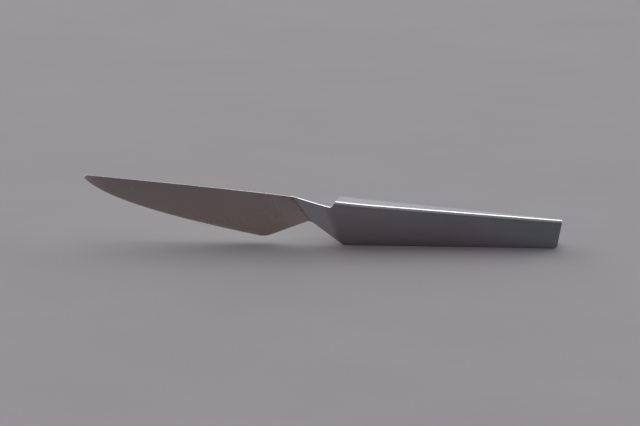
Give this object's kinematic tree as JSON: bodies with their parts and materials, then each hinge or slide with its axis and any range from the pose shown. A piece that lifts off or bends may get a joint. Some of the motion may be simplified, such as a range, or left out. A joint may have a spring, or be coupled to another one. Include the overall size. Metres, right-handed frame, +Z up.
{
  "type": "table knife",
  "caption": "All-steel table knife with a pointed, gently curved blade, a slim folded neck and a hollow tapering handle whose flat sole lets it stand with the blade clear of the table.",
  "frame": {"origin": "middle of the knife's bounding box in plan, at the level of the sole that it stands on", "axes": "+X runs along the knife from the tip to the butt, +Y from the face with the unbroken neck across to the far side, +Z up from the sole, with the spine on top"},
  "size_m": [0.2264, 0.0173, 0.0288],
  "materials": {
    "blade_steel": "fine satin grind along the blade",
    "handle_steel": "fine satin brushing along the handle",
    "tang_resin": "cast, matt"
  },
  "bodies": {
    "root": {"blade": "blade_steel", "handle_shell": "handle_steel", "sole_plate": "handle_steel", "mouth_plate": "handle_steel", "butt_plate": "handle_steel", "tang_bed": "tang_resin"}
  },
  "joints": []
}
